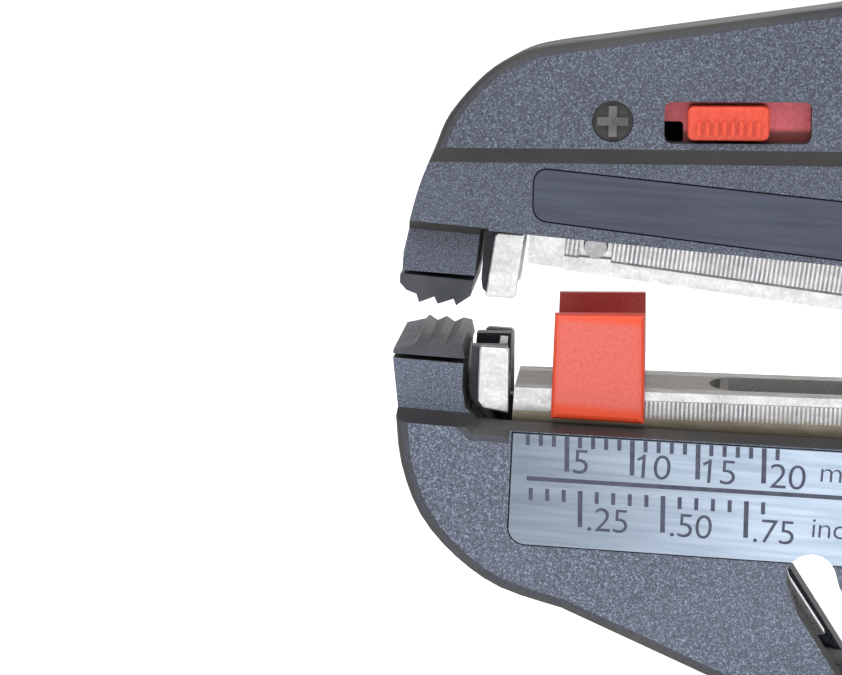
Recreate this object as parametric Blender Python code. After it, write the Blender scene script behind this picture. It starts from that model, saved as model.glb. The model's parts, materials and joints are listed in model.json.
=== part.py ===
"""Self-adjusting wire stripper, modelled as separate pieces.

Layout numbers are in millimetres in the tool's own frame: x runs from the nose to the handles, z is up, and
y = 0 is the plane where the two housing halves meet. World units are metres, and the tool stands on its
lower handle.
"""
import math

import bmesh
import bpy
from mathutils import Vector

# Where the tool's frame lies in the world.
MM = 0.001
FOOT_Z = -50.0
MIDDLE_X = 99.7

# Housing: half thickness of each layer, walls and edges.
HALF_THICKNESS = 7.5
MID_HALF = 6.8
NOSE_HALF = 5.0
CHANNEL_HALF = 4.2
CHEEK_INNER = 5.8
EAR_OUTER = 5.5
SPLIT = 0.15
LOWER_FILLET = 1.0
UPPER_FILLET = 0.8
TOP_LEAN = 0.064
BEYOND = 5.0
GAP = 0.3
PLATE_GAP = 0.12

# Joint axes and the centres of the loose pins.
JAW_PIVOT = (72.0, 0.0)
LEVER_PIVOT = (102.0, -38.0)
DRIVE_PIN = (94.0, 0.0)
CROSS_PIN = (82.0, 0.0)
LOCK_PIN = (14.35, 5.9)
CHEEK_RADIUS = 23.0
LOWER_BAR_TILT = math.radians(3.0)
UPPER_BAR_TILT = math.radians(-3.5)
SLIDER_TILT = math.radians(4.2)

# Drawbars.
BAR_HALF = 3.7
HOLDER_HALF = 3.0
CHEEK_THICKNESS = 0.6
BAR_HEIGHT = 4.2
GROOVE_HALF = 2.3
LAP_INNER = 0.2
LAP_OUTER = 2.4
BAR_END_X = 64.0
TAIL_END_X = 85.0

# Round pieces.
STUD_RADIUS = 3.0
RUNNING = 0.05
PIN_RADIUS = 2.0
CROSS_RADIUS = 1.2
LOCK_RADIUS = 0.87
SCREW_RADIUS = 1.2
SCREW_HEAD = 2.2
SOCKET_HALF = 0.7
BOSS_RADIUS = 2.7
ROUND_STEPS = 32
SMALL_STEPS = 16
PIN_STEPS = 24

# Outlines and screw places, as (x, z).
UPPER_NOSE = [
    (-0.3, 4.5), (0.6, 9.5), (1.75, 13.1), (2.75, 15.8), (5.2, 18.95), (7.7, 20.7), (10.2, 21.5),
    (13.5, 22.2)]
UPPER_CROWN = [(44.0, 28.8), (50.0, 29.8), (55.0, 30.1), (59.0, 29.6), (63.0, 28.3)]
LOWER_OUTLINE = [(4.9, -3.9), (4.95, -5.8), (5.3, -7.4), (6.3, -8.3), (8.8, -8.3), (34.0, -7.48)]
LEDGE_END_Z = -7.0
LOWER_BELLY = [
    (118.6, -17.0), (120.4, -25.0), (126.0, -30.2), (126.0, -48.0), (113.0, -48.9), (100.0, -50.0),
    (74.0, -50.0), (68.0, -48.4), (60.0, -43.2), (50.0, -36.8), (40.0, -32.1), (26.1, -26.9)]
LOWER_CHIN = [
    (14.0, -22.4), (9.1, -21.2), (5.45, -19.0), (2.5, -15.9), (0.7, -11.8), (0.0, -7.55), (-0.6, -3.9)]
LOWER_HOLDER = [(5.35, -2.9), (5.35, -6.3), (5.6, -7.1), (6.2, -7.7), (8.4, -7.9), (8.1, -2.7)]
LOWER_CHEEK = [
    (5.98, -2.8), (6.1, -7.1), (6.6, -7.65), (8.6, -7.85), (8.62, -7.6), (8.3, -2.8), (8.1, -2.62),
    (6.2, -2.64)]
UPPER_HOLDER = [(6.3, 1.35), (5.85, 1.75), (5.7, 2.5), (5.7, 6.3), (8.6, 6.5), (8.3, 1.4)]
UPPER_CHEEK = [
    (6.15, 1.45), (6.55, 6.2), (6.8, 6.45), (8.84, 6.45), (8.5, 1.55), (8.3, 1.35), (6.3, 1.3)]
LOWER_SCREWS = [(9.0, -15.5), (55.2, -25.2), (68.0, -38.0), (118.5, -38.5)]
UPPER_SCREWS = [(10.9, 14.6), (38.6, 20.1), (43.5, 12.5)]
LEVER_SCREWS = [(124.0, 25.0), (178.0, 39.5)]

MATERIALS = {
    "housing_blue": ((0.055, 0.085, 0.125), 0.55, 0.0),
    "jaw_steel": ((0.20, 0.25, 0.33), 0.40, 0.9),
    "bright_steel": ((0.62, 0.63, 0.64), 0.30, 1.0),
    "blade_steel": ((0.72, 0.73, 0.75), 0.22, 1.0),
    "stop_red": ((0.75, 0.07, 0.03), 0.45, 0.0),
    "scale_blue": ((0.42, 0.53, 0.62), 0.42, 0.4),
    "label_blue": ((0.10, 0.14, 0.20), 0.45, 0.3),
    "grip_rubber": ((0.05, 0.16, 0.36), 0.75, 0.0),
    "screw_zinc": ((0.55, 0.56, 0.58), 0.35, 1.0),
}


# ---- basic shapes --------------------------------------------------------------------------------

def to_world(x, y, z):
    """Tool-frame millimetres to world metres."""
    return Vector(((x - MIDDLE_X) * MM, y * MM, (z - FOOT_Z) * MM))


def arc(centre, radius, start_deg, end_deg, steps):
    """Points along a circular arc, both ends included."""
    points = []
    for index in range(steps + 1):
        angle = math.radians(start_deg + (end_deg - start_deg) * index / steps)
        points.append((centre[0] + radius * math.cos(angle), centre[1] + radius * math.sin(angle)))
    return points


def circle(centre, radius, steps=ROUND_STEPS):
    """Points of a full circle, the last one left out."""
    return arc(centre, radius, 0.0, 360.0, steps)[:-1]


def curve_through(points, steps):
    """A smooth open curve through the points, with the given number of pieces between neighbours."""
    result = []
    for index in range(len(points) - 1):
        before = Vector(points[max(index - 1, 0)])
        start = Vector(points[index])
        end = Vector(points[index + 1])
        after = Vector(points[min(index + 2, len(points) - 1)])
        for step in range(steps):
            t = step / steps
            bend = start * 2 + (end - before) * t
            bend += (before * 2 - start * 5 + end * 4 - after) * t ** 2
            bend += (start * 3 - before - end * 3 + after) * t ** 3
            result.append(tuple(bend / 2))
    return result + [points[-1]]


def rectangle(x0, x1, z0, z1):
    """Outline of an upright rectangle."""
    return [(x0, z0), (x1, z0), (x1, z1), (x0, z1)]


def round_rectangle(x0, x1, z0, z1, radius, steps=4):
    """Outline of a rectangle with rounded corners."""
    points = []
    corners = [(x1, z0, -90.0), (x1, z1, 0.0), (x0, z1, 90.0), (x0, z0, 180.0)]
    for x, z, start in corners:
        centre_x = x - math.copysign(radius, x - (x0 + x1) / 2)
        centre_z = z - math.copysign(radius, z - (z0 + z1) / 2)
        points += arc((centre_x, centre_z), radius, start, start + 90.0, steps)
    return points


def turned(points, centre, angle):
    """An outline turned about a point, counter-clockwise as seen with x to the right and z up."""
    cosine, sine = math.cos(angle), math.sin(angle)
    result = []
    for x, z in points:
        dx, dz = x - centre[0], z - centre[1]
        result.append((centre[0] + dx * cosine - dz * sine, centre[1] + dx * sine + dz * cosine))
    return result


def inset(points, distance):
    """An outline with every edge moved inwards by the same distance."""
    area = sum(a[0] * b[1] - b[0] * a[1] for a, b in zip(points, points[1:] + points[:1]))
    sign = 1.0 if area > 0 else -1.0
    result = []
    for index, point in enumerate(points):
        before = Vector(points[index - 1])
        here = Vector(point)
        after = Vector(points[(index + 1) % len(points)])
        first = (here - before).normalized()
        second = (after - here).normalized()
        first_normal = Vector((-first.y, first.x)) * sign
        second_normal = Vector((-second.y, second.x)) * sign
        mitre = (first_normal + second_normal) / (1.0 + first_normal.dot(second_normal))
        result.append(tuple(here + mitre * distance))
    return result


def mesh_from_rings(name, rings):
    """A closed solid through rings of equal length, capped at both ends."""
    mesh = bpy.data.meshes.new(name)
    work = bmesh.new()
    loops = [[work.verts.new(point) for point in ring] for ring in rings]
    count = len(loops[0])
    for lower, upper in zip(loops, loops[1:]):
        for index in range(count):
            following = (index + 1) % count
            work.faces.new((lower[index], lower[following], upper[following], upper[index]))
    work.faces.new(loops[0][::-1])
    work.faces.new(loops[-1])
    bmesh.ops.recalc_face_normals(work, faces=work.faces)
    work.to_mesh(mesh)
    work.free()
    obj = bpy.data.objects.new(name, mesh)
    bpy.context.scene.collection.objects.link(obj)
    return obj


def slab(name, outline, y_start, y_end, fillet=0.0, steps=3):
    """An outline extruded along y; the edge at y_end is rounded by the fillet."""
    direction = math.copysign(1.0, y_end - y_start)
    layers = [(outline, y_start), (outline, y_end - direction * fillet)]
    if fillet:
        for index in range(1, steps + 1):
            angle = math.pi / 2 * index / steps
            layers.append((inset(outline, fillet * (1 - math.cos(angle))),
                           y_end - direction * fillet * (1 - math.sin(angle))))
    return mesh_from_rings(name, [[to_world(x, y, z) for x, z in points] for points, y in layers])


def lean_back(obj):
    """Slope the upper jaw's crown down away from the front, leaving its lower parts and hinge alone."""
    hinge = to_world(JAW_PIVOT[0], 0.0, JAW_PIVOT[1])
    for vertex in obj.data.vertices:
        depth = vertex.co.y / MM + HALF_THICKNESS
        height = vertex.co.z / MM + FOOT_Z
        reach = math.hypot(vertex.co.x - hinge.x, vertex.co.z - hinge.z) / MM - CHEEK_RADIUS
        share = min(max((height - 8.0) / 6.0, 0.0), 1.0) * min(max((reach - 1.7) / 3.0, 0.0), 1.0)
        vertex.co.z -= TOP_LEAN * depth * share * MM
    work = bmesh.new()
    work.from_mesh(obj.data)
    bmesh.ops.triangulate(work, faces=work.faces)
    work.to_mesh(obj.data)
    work.free()
    return obj


def sloped_slab(name, inner, outer, y_inner, y_outer):
    """A cutter whose outline changes evenly between two depths."""
    rings = [[to_world(x, y, z) for x, z in points] for points, y in ((inner, y_inner), (outer, y_outer))]
    return mesh_from_rings(name, rings)


def cross_slab(name, outline, x_start, x_end):
    """An outline given in y and z, extruded along x."""
    rings = [[to_world(x, y, z) for y, z in outline] for x in (x_start, x_end)]
    return mesh_from_rings(name, rings)


def rod(name, centre, radius, y_start, y_end, steps=SMALL_STEPS):
    """A round bar along y."""
    return slab(name, circle(centre, radius, steps), y_start, y_end)


def bake(obj):
    """Turn the object's modifiers into its mesh."""
    graph = bpy.context.evaluated_depsgraph_get()
    baked = bpy.data.meshes.new_from_object(obj.evaluated_get(graph))
    old = obj.data
    obj.modifiers.clear()
    obj.data = baked
    bpy.data.meshes.remove(old)


def boolean(target, tool, operation):
    """Apply one exact Boolean and drop the tool."""
    modifier = target.modifiers.new(operation.lower(), "BOOLEAN")
    modifier.operation = operation
    modifier.object = tool
    modifier.solver = "EXACT"
    bake(target)
    bpy.data.objects.remove(tool, do_unlink=True)
    return target


def cut(target, *tools):
    """Take each tool away from the target."""
    for tool in tools:
        boolean(target, tool, "DIFFERENCE")
    return target


def join(target, *others):
    """Add each other solid to the target."""
    for other in others:
        boolean(target, other, "UNION")
    return target


def material(slot):
    """The named Principled material, made once."""
    if slot in bpy.data.materials:
        return bpy.data.materials[slot]
    colour, roughness, metallic = MATERIALS[slot]
    made = bpy.data.materials.new(slot)
    made.use_nodes = True
    shader = made.node_tree.nodes["Principled BSDF"]
    shader.inputs["Base Color"].default_value = (*colour, 1.0)
    shader.inputs["Roughness"].default_value = roughness
    shader.inputs["Metallic"].default_value = metallic
    return made


def finish(obj, slot, parent):
    """Shade, colour and parent a finished piece."""
    obj.data.materials.clear()
    obj.data.materials.append(material(slot))
    obj.data.shade_smooth()
    obj.data.set_sharp_from_angle(angle=math.radians(32.0))
    shift = parent.matrix_world.translation
    for vertex in obj.data.vertices:
        vertex.co -= shift
    obj.parent = parent
    return obj


def axis_empty(name, point, parent=None):
    """An empty on a joint's axis, in the middle of the tool's thickness."""
    empty = bpy.data.objects.new(name, None)
    bpy.context.scene.collection.objects.link(empty)
    world = to_world(point[0], 0.0, point[1])
    empty.location = world - (parent.matrix_world.translation if parent else Vector())
    empty.parent = parent
    bpy.context.view_layer.update()
    return empty


def both_sides(build):
    """A front and a rear version of one piece."""
    return build(-1), build(1)


# ---- drawbar lines -------------------------------------------------------------------------------

def lower_bar_top(x):
    """Height of the lower drawbar's top face."""
    return -5.76 + (x - 8.55) * math.tan(LOWER_BAR_TILT)


def upper_bar_bottom(x):
    """Height of the upper drawbar's bottom face."""
    return 3.9 + (x - 11.55) * math.tan(UPPER_BAR_TILT)


# ---- fasteners -----------------------------------------------------------------------------------

def add_boss(shell, side, point, inner):
    """A boss on the inside of a housing half, with its screw hole; the rear half is counterbored."""
    join(shell, rod("boss", point, BOSS_RADIUS, side * (inner + 0.6), side * SPLIT))
    if side < 0:
        cut(shell, rod("hole", point, SCREW_RADIUS + RUNNING, 1.0, -5.0))
    else:
        cut(shell, rod("hole", point, SCREW_RADIUS + GAP, -1.0, HALF_THICKNESS + 1.0),
            rod("counterbore", point, SCREW_HEAD + GAP, 5.9, HALF_THICKNESS + 1.0))


def screw(point, tip, head_start, head_end):
    """A pan-head screw entered from the rear, with a cross recess left as a square socket."""
    shaft = rod("screw", point, SCREW_RADIUS, tip, head_start + 0.3)
    join(shaft, rod("head", point, SCREW_HEAD, head_start, head_end))
    x, z = point
    square = rectangle(x - SOCKET_HALF, x + SOCKET_HALF, z - SOCKET_HALF, z + SOCKET_HALF)
    return cut(shaft, slab("socket", square, head_end - 0.8, head_end + 1.0))


def screws(name, points, tip, head_start, head_end, slot, parent):
    """The numbered screws of one housing."""
    for number, point in enumerate(points, start=1):
        made = screw(point, tip, head_start, head_end)
        made.name = f"{name}_{number}"
        finish(made, slot, parent)


# ---- fixed body ----------------------------------------------------------------------------------

def lower_outline():
    """Outline of the lower housing, from the nose along the drawbar channel and round the hinge cheek."""
    start = math.degrees(math.asin(LEDGE_END_Z / CHEEK_RADIUS))
    cheek = arc(JAW_PIVOT, CHEEK_RADIUS, 180.0 - start, 62.0, 14)
    rear = [cheek[-1], (92.0, 18.9), (103.0, 16.4), (112.0, 11.0), (117.2, 3.0), (118.9, -7.0)]
    return (LOWER_OUTLINE + cheek[:-1] + curve_through(rear, 3) + LOWER_BELLY
            + curve_through(LOWER_CHIN, 3))


def lower_pockets(side):
    """The hollows of a lower housing half: the bar channel, the belly and the mechanism space behind it."""
    front = [
        (5.2, -2.0), (5.2, -5.8), (5.6, -8.2), (8.0, -10.8), (12.5, -12.8), (13.5, -18.9), (26.9, -23.8),
        (41.0, -28.9), (49.0, -32.6), (49.0, -2.0)]
    rear = [
        (47.0, -4.0), (47.0, -31.6), (51.5, -34.2), (61.2, -41.0), (69.2, -46.2), (74.0, -47.5),
        (99.5, -47.5), (110.0, -46.4), (115.5, -45.5), (115.5, -20.0), (125.0, -12.0), (125.0, 30.0),
        (45.0, 30.0)]
    yield slab("front_pocket", front, side * -1.0, side * CHANNEL_HALF)
    yield slab("rear_pocket", rear, side * -1.0, side * CHEEK_INNER)


def cutter_slot_outline():
    """The oblique cable slot in the belly, open downwards."""
    left = [(41.2, -33.0), (35.4, -25.1), (32.15, -20.7), (31.1, -18.3)]
    right = [(35.2, -18.4), (38.2, -22.4), (44.4, -31.0)]
    return left + arc((32.95, -17.75), 1.9, 170.0, 20.0, 6) + right


def lower_shell(side):
    """One half of the fixed body: nose block, scale flat, belly, hinge cheek and handle tang."""
    name = "lower_front_shell" if side < 0 else "lower_rear_shell"
    shell = slab(name, lower_outline(), side * SPLIT, side * HALF_THICKNESS, LOWER_FILLET)
    tang = [(120.0, -33.5), (120.0, -46.0), (190.0, -46.5), (190.0, -35.5)]
    join(shell, slab("tang", tang, side * SPLIT, side * 5.0))
    cut(shell, *lower_pockets(side))
    cut(shell, sloped_slab("nose_step", rectangle(-6.0, 9.6, -7.8, 2.0), rectangle(-6.0, 9.6, -8.9, 2.0),
                           side * NOSE_HALF, side * (HALF_THICKNESS + 2.5)))
    cut(shell, slab("jaw_seat", rectangle(1.0, 4.4, -6.5, 0.0), side * -1.0, side * 1.8))
    cut(shell, slab("cable_slot", cutter_slot_outline(), side * -1.0, side * (HALF_THICKNESS + BEYOND)))
    cut(shell, rod("stud_hole", JAW_PIVOT, STUD_RADIUS + RUNNING, 0.0, side * 12.0, ROUND_STEPS))
    join(shell, rod("pivot_boss", LEVER_PIVOT, 6.0, side * 6.4, side * 2.4, ROUND_STEPS))
    cut(shell, rod("lever_hole", LEVER_PIVOT, STUD_RADIUS + RUNNING, 0.0, side * 12.0, ROUND_STEPS))
    for low, end in ((10.3, 108.5), (-12.3, 114.0)):
        rail = rectangle(84.0, end, low, low + 2.0)
        join(shell, slab("carriage_rail", rail, side * 3.2, side * (CHEEK_INNER + 0.6)))
    if side < 0:
        seat = [(41.0, -23.5), (48.6, -29.2), (48.6, -14.0), (38.0, -14.0), (38.0, -19.3)]
        join(shell, slab("blade_seat", seat, -(CHANNEL_HALF + 0.6), -0.9))
        join(shell, slab("plate_pad", [(9.0, -9.6), (46.6, -9.0), (46.6, -7.06), (34.0, -7.44), (9.0, -8.25)],
                         -5.0, -(HALF_THICKNESS + 0.02)))
        cut(shell, slab("plate_recess", scale_outline(PLATE_GAP), -6.9, -(HALF_THICKNESS + BEYOND)))
    for point in LOWER_SCREWS:
        add_boss(shell, side, point, CHANNEL_HALF if point[0] < 50.0 else CHEEK_INNER)
    return shell


def scale_outline(grow):
    """The scale plate's outline, or its recess when grown."""
    left = [(9.3, -8.42), (9.5, -16.0)] + arc((10.78, -15.9), 1.3, 184.0, 268.0, 5)
    corners = left + [(46.0, -16.3), (46.0, -7.28)]
    return inset(corners, -grow) if grow else corners


def lower_grip_jaw(parent):
    """Serrated steel insert on the lower nose, with its lug between the housing halves."""
    teeth = [(-0.6, -3.2), (0.9, -2.75), (1.2, -2.4), (1.9, -2.8), (2.6, -2.4), (3.3, -2.8), (4.0, -2.4),
             (4.7, -2.5), (5.0, -3.5)]
    body = slab("lower_grip_jaw", [(-0.6, -3.55)] + teeth, -NOSE_HALF, NOSE_HALF)
    join(body, slab("lug", rectangle(1.3, 4.1, -6.2, -3.0), -1.5, 1.5))
    return finish(body, "jaw_steel", parent)


def upper_grip_jaw(parent):
    """Serrated steel insert on the upper nose."""
    teeth = [(5.2, 2.7), (5.1, 1.5), (4.03, 0.65), (3.8, 1.15), (2.6, 0.65), (2.3, 1.2), (1.15, 0.65),
             (0.9, 1.3), (0.1, 1.55), (-0.45, 2.1), (-0.45, 2.8)]
    body = slab("upper_grip_jaw", teeth, -NOSE_HALF, NOSE_HALF)
    join(body, slab("lug", rectangle(1.3, 4.1, 2.2, 5.9), -1.5, 1.5))
    return finish(body, "jaw_steel", parent)


def scale_plate(parent):
    """The length scale on the front."""
    plate = slab("scale_plate", scale_outline(0.0), -7.2, -(HALF_THICKNESS + 0.1))
    cut(plate, slab("cable_slot", cutter_slot_outline(), -3.0, -(HALF_THICKNESS + BEYOND)))
    return finish(plate, "scale_blue", parent)


def lower_guide_rail(parent):
    """Wear strip under the lower drawbar, beside the moving cutter."""
    drop = BAR_HEIGHT + GAP
    outline = [(14.0, lower_bar_top(14.0) - drop - 1.4), (44.0, lower_bar_top(44.0) - drop - 1.4),
               (44.0, lower_bar_top(44.0) - drop), (14.0, lower_bar_top(14.0) - drop)]
    return finish(slab("lower_guide_rail", outline, -3.9, -0.4), "bright_steel", parent)


def fixed_cutter_blade(parent):
    """Hardened blade on the handle side of the cable slot."""
    outline = [(38.5, -21.9), (42.6, -27.6), (47.0, -27.6), (47.0, -15.4), (39.5, -15.4), (36.9, -19.7)]
    blade = slab("fixed_cutter_blade", outline, -0.6, 0.5)
    return finish(cut(blade, rod("hole", (44.0, -19.0), 1.3, -2.0, 2.0)), "blade_steel", parent)


def pivot_stud(side, parent):
    """Jaw pivot stud through a cheek and an ear."""
    name = "pivot_stud_front" if side < 0 else "pivot_stud_rear"
    stud = rod(name, JAW_PIVOT, STUD_RADIUS, side * 4.0, side * 8.0, ROUND_STEPS)
    join(stud, rod("head", JAW_PIVOT, 4.6, side * 7.8, side * 8.8, ROUND_STEPS))
    return finish(stud, "bright_steel", parent)


def lever_pivot_pin(parent):
    """Pin on which the lever turns, headed at the front."""
    pin = rod("lever_pivot_pin", LEVER_PIVOT, STUD_RADIUS, -8.0, 8.4, ROUND_STEPS)
    join(pin, rod("head", LEVER_PIVOT, 4.4, -8.8, -7.8, ROUND_STEPS))
    groove = rod("groove", LEVER_PIVOT, STUD_RADIUS + 1.0, 7.8, 8.1, ROUND_STEPS)
    cut(groove, rod("core", LEVER_PIVOT, STUD_RADIUS - 0.5, 7.0, 9.0, ROUND_STEPS))
    return finish(cut(pin, groove), "bright_steel", parent)


def return_spring(parent):
    """Torsion spring round the front pivot boss, one leg on the housing floor and one towards the lever."""
    radius, wire, turns, steps = 7.2, 0.4, 2.25, 16
    centre = LEVER_PIVOT
    path = [(centre[0] - 14.0, -5.2, centre[1] - radius)]
    total = int(turns * steps)
    for index in range(total + 1):
        angle = -math.pi / 2 + 2 * math.pi * index / steps
        y = -5.2 + 2.3 * index / total
        path.append((centre[0] + radius * math.cos(angle), y, centre[1] + radius * math.sin(angle)))
    path.append((centre[0] + radius, -2.9, centre[1] + 9.0))
    rings = []
    for index, point in enumerate(path):
        before = Vector(path[max(index - 1, 0)])
        after = Vector(path[min(index + 1, len(path) - 1)])
        along = (after - before).normalized()
        across = along.cross(Vector((0.0, 1.0, 0.0))).normalized()
        up = across.cross(along)
        ring = []
        for corner in range(6):
            turn = 2 * math.pi * corner / 6
            ring.append(to_world(*(Vector(point) + (across * math.cos(turn) + up * math.sin(turn)) * wire)))
        rings.append(ring)
    return finish(mesh_from_rings("return_spring", rings), "bright_steel", parent)


def handle_rings(stations, corner_count=20, power=3.0):
    """Rounded cross-sections of a handle: each station is x, middle z, half height and half width."""
    rings = []
    for x, middle, half_height, half_width in stations:
        ring = []
        for index in range(corner_count):
            angle = 2 * math.pi * (index + 0.5) / corner_count
            cosine, sine = math.cos(angle), math.sin(angle)
            y = math.copysign(abs(cosine) ** (2 / power), cosine) * half_width
            z = math.copysign(abs(sine) ** (2 / power), sine) * half_height
            ring.append(to_world(x, y, middle + z))
        rings.append(ring)
    return rings


def handle_grip(name, stations, hollow, half_width, parent):
    """A moulded sleeve over a handle tang."""
    grip = mesh_from_rings(name, handle_rings(stations))
    cut(grip, slab("tang_space", hollow, -half_width, half_width))
    return finish(grip, "grip_rubber", parent)


def lower_handle_grip(parent):
    """Soft grip of the fixed handle."""
    stations = [
        (126.5, -39.4, 9.0, 7.6), (130.0, -39.6, 9.8, 8.4), (140.0, -40.2, 9.4, 8.8),
        (153.0, -40.6, 8.9, 8.8), (167.0, -40.8, 9.2, 8.8), (180.0, -40.88, 9.2, 8.8),
        (192.0, -40.88, 9.2, 8.6), (197.5, -40.8, 8.0, 7.4), (200.0, -40.8, 5.6, 5.0)]
    hollow = [(112.0, -33.2), (112.0, -46.3), (190.4, -46.9), (190.4, -35.1)]
    return handle_grip("lower_handle_grip", stations, hollow, 5.3, parent)


# ---- upper jaw -----------------------------------------------------------------------------------

def upper_outline():
    """Outline of the upper housing: its rear edge runs round the hinge cheek, clear of it."""
    back = arc(JAW_PIVOT, CHEEK_RADIUS + 0.8, 108.0, 163.5, 8)
    top = curve_through(UPPER_NOSE, 4) + [(30.6, 25.8)] + curve_through(UPPER_CROWN, 2)
    return [(-0.3, 3.1)] + top + back + [(32.8, 6.5), (5.5, 7.0), (5.3, 3.1)]


def ear_outline():
    """The ear that carries the upper jaw on its stud."""
    return [(42.0, 9.0), (50.0, 6.2), (64.5, -1.5)] + arc(JAW_PIVOT, 7.5, 190.0, 430.0, 14) + [
        (62.0, 19.0), (54.0, 22.5), (42.0, 22.5)]


def ledge(height):
    """Everything below the side ledge, whose line rises to the rear; height is taken at the nose."""
    rise = math.tan(math.radians(3.9))
    return [(-6.0, -2.0), (-6.0, height - 8.8 * rise), (60.0, height + 57.2 * rise), (60.0, -2.0)]


def slot_frame(x0, x1, z0, z1, radius):
    """A rounded rectangle along the depth slide's line."""
    return turned(round_rectangle(x0, x1, z0, z1, radius), (24.1, 16.7), SLIDER_TILT)


def upper_shell(side):
    """One half of the upper jaw: nose block, stepped side, ear and hollow inside."""
    name = "upper_front_shell" if side < 0 else "upper_rear_shell"
    shell = lean_back(slab(name, upper_outline(), side * SPLIT, side * HALF_THICKNESS, UPPER_FILLET))
    pocket = [(5.6, 1.0), (5.6, 9.0), (6.6, 14.0), (8.3, 17.0), (11.0, 18.6), (44.0, 25.9), (52.0, 27.2),
              (60.0, 27.0), (70.0, 22.0), (70.0, 1.0)]
    cut(shell, lean_back(slab("pocket", pocket, side * -1.0, side * CHANNEL_HALF)))
    join(shell, slab("ear", ear_outline(), side * CHANNEL_HALF, side * EAR_OUTER))
    cut(shell, sloped_slab("side_step", ledge(12.0), ledge(14.4), side * MID_HALF,
                           side * (HALF_THICKNESS + 0.7)))
    cut(shell, sloped_slab("nose_step", [(-6.0, -2.0), (-6.0, 6.5), (6.2, 6.3), (6.2, -2.0)],
                           [(-6.0, -2.0), (-6.0, 8.7), (6.2, 8.3), (6.2, -2.0)], side * NOSE_HALF,
                           side * (HALF_THICKNESS + 1.5)))
    cut(shell, slab("jaw_seat", rectangle(1.0, 4.4, 0.0, 6.2), side * -1.0, side * 1.8))
    cut(shell, rod("stud_hole", JAW_PIVOT, STUD_RADIUS + RUNNING, 0.0, side * 12.0, ROUND_STEPS))
    if side < 0:
        cut(shell, slab("slide_space", slot_frame(14.6, 34.2, 13.2, 20.2, 0.5), -3.0, -6.0))
        cut(shell, slab("slide_slot", slot_frame(18.7, 29.5, 15.15, 18.25, 0.55), -3.0, -12.0))
        cut(shell, slab("label_recess", label_outline(PLATE_GAP), -6.2, -12.0))
        cut(shell, rod("plus_disc", (14.9, 16.1), 1.55, -7.1, -12.0, ROUND_STEPS))
        cut(shell, rod("minus_disc", (33.8, 17.9), 1.55, -7.1, -12.0, ROUND_STEPS))
    for point in UPPER_SCREWS:
        add_boss(shell, side, point, CHANNEL_HALF)
    return shell


def label_outline(grow):
    """The blank label plate's outline, or its recess when grown."""
    left = arc((10.3, 11.1), 0.9, 90.0, 180.0, 4) + arc((10.6, 9.2), 1.1, 185.0, 265.0, 4)
    corners = left + [(33.0, 7.0), (47.0, 6.65), (47.0, 11.2), (33.0, 11.3)]
    return inset(corners, -grow) if grow else corners


def label_plate(parent):
    """Blank plate on the side of the upper jaw."""
    return finish(slab("label_plate", label_outline(0.0), -6.5, -(MID_HALF + 0.05)), "label_blue", parent)


def upper_guide_rail(parent):
    """Wear strip above the upper drawbar."""
    rise = BAR_HEIGHT + GAP
    outline = [(16.5, upper_bar_bottom(16.5) + rise), (44.0, upper_bar_bottom(44.0) + rise),
               (44.0, upper_bar_bottom(44.0) + rise + 1.4), (16.5, upper_bar_bottom(16.5) + rise + 1.4)]
    return finish(slab("upper_guide_rail", outline, -3.9, 3.9), "bright_steel", parent)


def adjust_slider(parent):
    """Depth slide: base plate behind the slot and a ribbed button through it."""
    slide = slab("adjust_slider", slot_frame(16.5, 30.8, 13.9, 19.8, 0.5), -4.5, -5.7)
    cut(slide, slab("relief", slot_frame(15.0, 20.1, 12.0, 16.6, 0.3), -3.0, -7.0))
    join(slide, slab("button", slot_frame(20.4, 26.4, 15.45, 17.95, 0.45), -5.4, -8.1, 0.3))
    for index in range(8):
        x = 21.1 + index * 0.62
        join(slide, slab("rib", slot_frame(x, x + 0.3, 15.8, 16.9, 0.1), -7.6, -8.35))
    return finish(slide, "stop_red", parent)


# ---- drawbars ------------------------------------------------------------------------------------

def blade(name, direction, root, edge, parent):
    """Thin stripping blade across the wire, with a shallow V in its edge."""
    middle = edge + direction * 0.7
    outline = [(-1.6, root), (1.6, root), (1.6, edge), (0.0, middle), (-1.6, edge)]
    return finish(cross_slab(name, outline, 7.3, 7.9), "blade_steel", parent)


def blade_holder(name, outline, slot_z0, slot_z1, parent):
    """Blued holder at a drawbar's front end, open in the middle for the blade."""
    holder = slab(name, outline, -HOLDER_HALF, HOLDER_HALF)
    cut(holder, slab("slot", rectangle(0.0, 12.0, slot_z0, slot_z1), -1.9, 1.9))
    return finish(holder, "jaw_steel", parent)


def cheek_plates(name, outline, parent):
    """Bright plates on both sides of a blade holder."""
    inner = HOLDER_HALF + GAP
    outer = inner + CHEEK_THICKNESS
    for side, word in ((-1, "front"), (1, "rear")):
        plate = slab(f"{name}_{word}", outline, side * inner, side * outer, 0.15, 2)
        finish(plate, "bright_steel", parent)


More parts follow.
